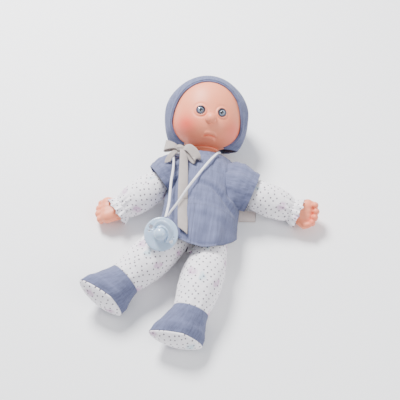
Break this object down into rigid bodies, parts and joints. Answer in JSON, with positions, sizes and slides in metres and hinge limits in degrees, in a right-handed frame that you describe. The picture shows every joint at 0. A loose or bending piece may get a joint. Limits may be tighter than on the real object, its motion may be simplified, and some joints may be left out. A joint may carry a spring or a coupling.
{
  "type": "interactive baby doll",
  "caption": "Soft-bodied baby doll with vinyl head and hands, cloth clothes, a magnetic pacifier on a neck cord and a sound module in its belly.",
  "frame": {"origin": "middle of the doll's box, on the surface that it lies on", "axes": "+Y towards the head, +Z the front of the doll, +X its left side"},
  "size_m": [0.2801, 0.3604, 0.0964],
  "materials": {
    "jersey": "white cotton jersey, printed with small dots and soft blotches",
    "muslin": "blue-grey crinkled double gauze",
    "hook_and_loop": "sewn hook and loop tape",
    "label_cloth": "soft woven label, blank",
    "tie_cord": "white tying thread",
    "satin_cord": "narrow white satin ribbon cord",
    "fibrefill": "white polyester stuffing",
    "ribbon": "taupe ribbed ribbon",
    "vinyl": "soft matte vinyl, peach, with blush on the cheeks",
    "eye_plastic": "glossy",
    "eye_lens": "clear-coated, pale blue-grey iris",
    "magnet": "nickel plated",
    "module_plastic": "white moulded plastic",
    "button_plastic": "moulded plastic",
    "black_plastic": "black moulded plastic",
    "board": "green printed circuit board",
    "battery": "plain wrapped cell",
    "contact_steel": "nickel plated steel",
    "lead": "insulated wire",
    "pacifier_plastic": "pale blue, slightly translucent moulded plastic"
  },
  "bodies": {
    "torso": {"torso_cover": "jersey", "torso_stuffing": "fibrefill", "back_fastener": "hook_and_loop", "tunic_body": "muslin", "tunic_skirt": "muslin", "tunic_collar": "muslin", "tunic_fastener": "hook_and_loop", "care_label": "label_cloth", "neck_tie": "tie_cord", "neck_cord_loop": "satin_cord", "module_base": "module_plastic", "module_lid": "module_plastic", "circuit_board": "board", "speaker": "black_plastic", "batteries": "battery", "battery_springs": "contact_steel", "tact_switch": "black_plastic", "switch_block": "black_plastic", "sensor_lead": "lead", "sleeve_left": "muslin", "sleeve_right": "muslin"},
    "tummy_button": {"tummy_button": "button_plastic"},
    "power_slider": {"power_slider": "black_plastic"},
    "battery_cover": {"battery_cover": "module_plastic", "battery_screw": "contact_steel"},
    "head": {"head_shell": "vinyl", "neck_plug": "module_plastic", "eye_left": "eye_plastic", "eye_right": "eye_plastic", "eye_lenses": "eye_lens", "mouth_magnet": "magnet", "mouth_sensor": "board", "bonnet": "muslin", "bonnet_edging": "muslin", "bow_knot": "ribbon", "bow_loops": "ribbon", "ribbon_tail_long": "ribbon", "ribbon_tail_short": "ribbon"},
    "arm_left": {"arm_cover_left": "jersey", "arm_stuffing_left": "fibrefill", "cuff_left": "jersey", "wrist_tie_left": "tie_cord"},
    "hand_left": {"hand_left": "vinyl"},
    "arm_right": {"arm_cover_right": "jersey", "arm_stuffing_right": "fibrefill", "cuff_right": "jersey", "wrist_tie_right": "tie_cord"},
    "hand_right": {"hand_right": "vinyl"},
    "leg_left": {"leg_cover_left": "jersey", "leg_stuffing_left": "fibrefill", "foot_upper_left": "muslin", "sole_left": "jersey"},
    "leg_right": {"leg_cover_right": "jersey", "leg_stuffing_right": "fibrefill", "foot_upper_right": "muslin", "sole_right": "jersey"},
    "neck_cord": {"cord_strand_right": "satin_cord", "cord_strand_left": "satin_cord"},
    "pacifier_ring": {"pacifier_ring": "pacifier_plastic"},
    "pacifier": {"pacifier_shield": "pacifier_plastic"}
  },
  "joints": [
    {"name": "head_turn", "type": "hinge", "parent": "torso", "child": "head", "pos_m": [-0.014, 0.132, 0.053], "axis": [0, 0.8988, 0.4384], "range_deg": [-40, 40], "deforming": ["bow_loops", "ribbon_tail_long", "ribbon_tail_short"]},
    {"name": "shoulder_lift_left", "type": "hinge", "parent": "torso", "child": "arm_left", "pos_m": [0.0428, 0.0341, 0.0327], "axis": [-0.2368, -0.9716, 0], "range_deg": [-10, 70], "deforming": ["sleeve_left"]},
    {"name": "shoulder_lift_right", "type": "hinge", "parent": "torso", "child": "arm_right", "pos_m": [-0.056, 0.0375, 0.0327], "axis": [-0.6432, 0.7657, 0], "range_deg": [-10, 70], "deforming": ["sleeve_right"]},
    {"name": "hand_turn_left", "type": "hinge", "parent": "arm_left", "child": "hand_left", "pos_m": [0.1042, 0.01914, 0.0198], "axis": [0.9519, -0.232, -0.2], "range_deg": [-90, 90]},
    {"name": "hand_turn_right", "type": "hinge", "parent": "arm_right", "child": "hand_right", "pos_m": [-0.10439, -0.00315, 0.0198], "axis": [-0.7502, -0.6302, -0.2001], "range_deg": [-90, 90]},
    {"name": "hip_bend_left", "type": "hinge", "parent": "torso", "child": "leg_left", "pos_m": [0.0125, -0.056, 0.028], "axis": [-1, 0, 0], "range_deg": [0, 90], "deforming": ["tunic_skirt"]},
    {"name": "hip_bend_right", "type": "hinge", "parent": "torso", "child": "leg_right", "pos_m": [-0.033, -0.041, 0.028], "axis": [-1, 0, 0], "range_deg": [0, 90]},
    {"name": "neck_cord_lift", "type": "hinge", "parent": "torso", "child": "neck_cord", "pos_m": [-0.0205, 0.0655, 0.056], "axis": [-0.9949, -0.0939, -0.0375], "range_deg": [0, 82], "deforming": ["cord_strand_right", "cord_strand_left"]},
    {"name": "ring_swing", "type": "hinge", "parent": "neck_cord", "child": "pacifier_ring", "pos_m": [-0.0415, -0.043, 0.077], "axis": [-1, 0, 0], "range_deg": [0, 35]},
    {"name": "shield_tilt", "type": "hinge", "parent": "pacifier_ring", "child": "pacifier", "pos_m": [-0.046, -0.06143, 0.06782], "axis": [-0.7071, 0.6315, 0.3182], "range_deg": [0, 15]},
    {"name": "tummy_button_press", "type": "slide", "parent": "torso", "child": "tummy_button", "axis": [0, 0, -1], "range_m": [0, 0.0015], "stiffness_N_per_m": 600, "springref_m": -0.001},
    {"name": "power_slide", "type": "slide", "parent": "torso", "child": "power_slider", "axis": [0, 1, 0], "range_m": [0, 0.004]},
    {"name": "battery_cover_lift", "type": "slide", "parent": "torso", "child": "battery_cover", "axis": [0, 0, -1], "range_m": [0, 0.003]}
  ],
  "couplings": [
    {"joint": "neck_cord_lift", "follows": "hip_bend_right", "ratio": 0.9}
  ]
}
